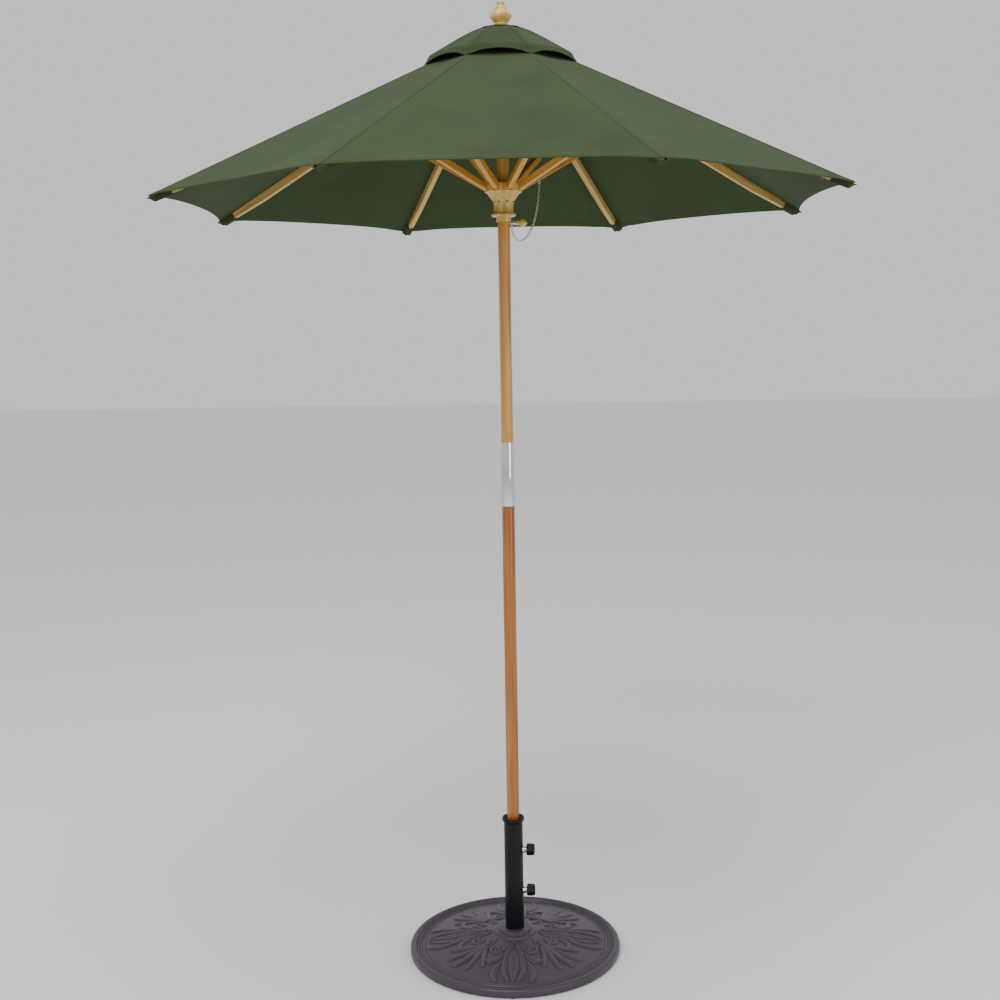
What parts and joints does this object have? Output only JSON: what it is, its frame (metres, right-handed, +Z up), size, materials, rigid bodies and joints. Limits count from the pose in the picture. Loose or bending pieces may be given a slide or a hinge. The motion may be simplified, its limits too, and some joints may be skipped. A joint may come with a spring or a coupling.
{
  "type": "patio umbrella with base",
  "caption": "Octagonal garden umbrella with a vented fabric canopy on wooden ribs, two-piece wooden pole and round weighted base",
  "frame": {"origin": "centre of the base's footprint, on the ground", "axes": "+Z up along the pole; +X towards the locking pin and the hand knobs; -Y the front panel"},
  "size_m": [1.6076, 1.6076, 2.4622],
  "materials": {
    "cast_base": "satin bronze over a cast shell",
    "feet": "matte",
    "tube": "semi-gloss black",
    "bright_steel": "polished",
    "knob_plastic": "satin",
    "lower_wood": "glossy varnish",
    "upper_wood": "glossy varnish",
    "rib_wood": "satin varnish",
    "turned_wood": "satin varnish",
    "hinge_metal": "dull",
    "canopy_cloth": "woven, matte"
  },
  "bodies": {
    "base": {"base_disc": "cast_base", "base_feet": "feet", "base_tube": "tube", "tube_collar": "tube", "tube_nuts": "bright_steel", "base_bolt": "bright_steel"},
    "upper_knob": {"upper_knob": "knob_plastic"},
    "lower_knob": {"lower_knob": "knob_plastic"},
    "lower_pole": {"lower_pole": "lower_wood", "ferrule": "bright_steel"},
    "upper_pole": {"upper_pole": "upper_wood", "top_hub": "rib_wood", "hub_fasteners": "hinge_metal", "crown_patch": "canopy_cloth"},
    "finial": {"finial": "turned_wood"},
    "lock_pin": {"lock_pin": "bright_steel", "lock_pin_knob": "turned_wood"},
    "rib_1": {"rib_1": "rib_wood", "rib_bracket_1": "hinge_metal", "canopy_panel_1": "canopy_cloth", "vent_panel_1": "canopy_cloth"},
    "rib_2": {"rib_2": "rib_wood", "rib_bracket_2": "hinge_metal", "canopy_panel_2": "canopy_cloth", "vent_panel_2": "canopy_cloth"},
    "rib_3": {"rib_3": "rib_wood", "rib_bracket_3": "hinge_metal", "canopy_panel_3": "canopy_cloth", "vent_panel_3": "canopy_cloth"},
    "rib_4": {"rib_4": "rib_wood", "rib_bracket_4": "hinge_metal", "canopy_panel_4": "canopy_cloth", "vent_panel_4": "canopy_cloth"},
    "rib_5": {"rib_5": "rib_wood", "rib_bracket_5": "hinge_metal", "canopy_panel_5": "canopy_cloth", "vent_panel_5": "canopy_cloth"},
    "rib_6": {"rib_6": "rib_wood", "rib_bracket_6": "hinge_metal", "canopy_panel_6": "canopy_cloth", "vent_panel_6": "canopy_cloth"},
    "rib_7": {"rib_7": "rib_wood", "rib_bracket_7": "hinge_metal", "canopy_panel_7": "canopy_cloth", "vent_panel_7": "canopy_cloth"},
    "rib_8": {"rib_8": "rib_wood", "rib_bracket_8": "hinge_metal", "canopy_panel_8": "canopy_cloth", "vent_panel_8": "canopy_cloth"},
    "strut_1": {"strut_1": "rib_wood", "pin_chain": "bright_steel"},
    "strut_2": {"strut_2": "rib_wood"},
    "strut_3": {"strut_3": "rib_wood"},
    "strut_4": {"strut_4": "rib_wood"},
    "strut_5": {"strut_5": "rib_wood"},
    "strut_6": {"strut_6": "rib_wood"},
    "strut_7": {"strut_7": "rib_wood"},
    "strut_8": {"strut_8": "rib_wood"},
    "runner": {"runner": "turned_wood", "runner_fasteners": "hinge_metal"}
  },
  "joints": [
    {"name": "upper_knob_turn", "type": "hinge", "parent": "base", "child": "upper_knob", "pos_m": [0.04, 0, 0.276], "axis": [1, 0, 0], "continuous": true},
    {"name": "lower_knob_turn", "type": "hinge", "parent": "base", "child": "lower_knob", "pos_m": [0.04, 0, 0.163], "axis": [1, 0, 0], "continuous": true},
    {"name": "pole_lift", "type": "slide", "parent": "base", "child": "lower_pole", "axis": [0, 0, 1], "range_m": [0, 0.345]},
    {"name": "upper_pole_lift", "type": "slide", "parent": "lower_pole", "child": "upper_pole", "axis": [0, 0, 1], "range_m": [0, 0.09]},
    {"name": "finial_turn", "type": "hinge", "parent": "upper_pole", "child": "finial", "pos_m": [0, 0, 2.397], "axis": [0, 0, 1], "continuous": true},
    {"name": "pin_pull", "type": "slide", "parent": "upper_pole", "child": "lock_pin", "axis": [1, 0, 0], "range_m": [0, 0.04]},
    {"name": "fold", "type": "hinge", "parent": "upper_pole", "child": "rib_1", "pos_m": [0.0388, 0.01607, 2.362], "axis": [-0.3827, 0.9239, 0], "range_deg": [0, 60], "deforming": ["canopy_panel_1", "vent_panel_1", "pin_chain", "lock_pin", "lock_pin_knob"]},
    {"name": "rib_2_fold", "type": "hinge", "parent": "upper_pole", "child": "rib_2", "pos_m": [0.01607, 0.0388, 2.362], "axis": [-0.9239, 0.3827, 0], "range_deg": [0, 60], "deforming": ["canopy_panel_2", "vent_panel_2"]},
    {"name": "rib_3_fold", "type": "hinge", "parent": "upper_pole", "child": "rib_3", "pos_m": [-0.01607, 0.0388, 2.362], "axis": [-0.9239, -0.3827, 0], "range_deg": [0, 60], "deforming": ["canopy_panel_3", "vent_panel_3"]},
    {"name": "rib_4_fold", "type": "hinge", "parent": "upper_pole", "child": "rib_4", "pos_m": [-0.0388, 0.01607, 2.362], "axis": [-0.3827, -0.9239, 0], "range_deg": [0, 60], "deforming": ["canopy_panel_4", "vent_panel_4"]},
    {"name": "rib_5_fold", "type": "hinge", "parent": "upper_pole", "child": "rib_5", "pos_m": [-0.0388, -0.01607, 2.362], "axis": [0.3827, -0.9239, 0], "range_deg": [0, 60], "deforming": ["canopy_panel_5", "vent_panel_5"]},
    {"name": "rib_6_fold", "type": "hinge", "parent": "upper_pole", "child": "rib_6", "pos_m": [-0.01607, -0.0388, 2.362], "axis": [0.9239, -0.3827, 0], "range_deg": [0, 60], "deforming": ["canopy_panel_6", "vent_panel_6"]},
    {"name": "rib_7_fold", "type": "hinge", "parent": "upper_pole", "child": "rib_7", "pos_m": [0.01607, -0.0388, 2.362], "axis": [0.9239, 0.3827, 0], "range_deg": [0, 60], "deforming": ["canopy_panel_7", "vent_panel_7"]},
    {"name": "rib_8_fold", "type": "hinge", "parent": "upper_pole", "child": "rib_8", "pos_m": [0.0388, -0.01607, 2.362], "axis": [0.3827, 0.9239, 0], "range_deg": [0, 60], "deforming": ["canopy_panel_8", "vent_panel_8"]},
    {"name": "strut_1_swing", "type": "hinge", "parent": "rib_1", "child": "strut_1", "pos_m": [0.33221, 0.13761, 2.18619], "axis": [-0.3827, 0.9239, 0], "range_deg": [-120, 0]},
    {"name": "strut_2_swing", "type": "hinge", "parent": "rib_2", "child": "strut_2", "pos_m": [0.13761, 0.33221, 2.18619], "axis": [-0.9239, 0.3827, 0], "range_deg": [-120, 0]},
    {"name": "strut_3_swing", "type": "hinge", "parent": "rib_3", "child": "strut_3", "pos_m": [-0.13761, 0.33221, 2.18619], "axis": [-0.9239, -0.3827, 0], "range_deg": [-120, 0]},
    {"name": "strut_4_swing", "type": "hinge", "parent": "rib_4", "child": "strut_4", "pos_m": [-0.33221, 0.13761, 2.18619], "axis": [-0.3827, -0.9239, 0], "range_deg": [-120, 0]},
    {"name": "strut_5_swing", "type": "hinge", "parent": "rib_5", "child": "strut_5", "pos_m": [-0.33221, -0.13761, 2.18619], "axis": [0.3827, -0.9239, 0], "range_deg": [-120, 0]},
    {"name": "strut_6_swing", "type": "hinge", "parent": "rib_6", "child": "strut_6", "pos_m": [-0.13761, -0.33221, 2.18619], "axis": [0.9239, -0.3827, 0], "range_deg": [-120, 0]},
    {"name": "strut_7_swing", "type": "hinge", "parent": "rib_7", "child": "strut_7", "pos_m": [0.13761, -0.33221, 2.18619], "axis": [0.9239, 0.3827, 0], "range_deg": [-120, 0]},
    {"name": "strut_8_swing", "type": "hinge", "parent": "rib_8", "child": "strut_8", "pos_m": [0.33221, -0.13761, 2.18619], "axis": [0.3827, 0.9239, 0], "range_deg": [-120, 0]},
    {"name": "runner_swing", "type": "hinge", "parent": "strut_1", "child": "runner", "pos_m": [0.0388, 0.01607, 2.01037], "axis": [-0.3827, 0.9239, 0], "range_deg": [0, 60]}
  ],
  "couplings": [
    {"joint": "strut_1_swing", "follows": "fold", "ratio": -2},
    {"joint": "rib_2_fold", "follows": "fold", "ratio": 1},
    {"joint": "strut_2_swing", "follows": "fold", "ratio": -2},
    {"joint": "rib_3_fold", "follows": "fold", "ratio": 1},
    {"joint": "strut_3_swing", "follows": "fold", "ratio": -2},
    {"joint": "rib_4_fold", "follows": "fold", "ratio": 1},
    {"joint": "strut_4_swing", "follows": "fold", "ratio": -2},
    {"joint": "rib_5_fold", "follows": "fold", "ratio": 1},
    {"joint": "strut_5_swing", "follows": "fold", "ratio": -2},
    {"joint": "rib_6_fold", "follows": "fold", "ratio": 1},
    {"joint": "strut_6_swing", "follows": "fold", "ratio": -2},
    {"joint": "rib_7_fold", "follows": "fold", "ratio": 1},
    {"joint": "strut_7_swing", "follows": "fold", "ratio": -2},
    {"joint": "rib_8_fold", "follows": "fold", "ratio": 1},
    {"joint": "strut_8_swing", "follows": "fold", "ratio": -2},
    {"joint": "runner_swing", "follows": "fold", "ratio": 1}
  ]
}
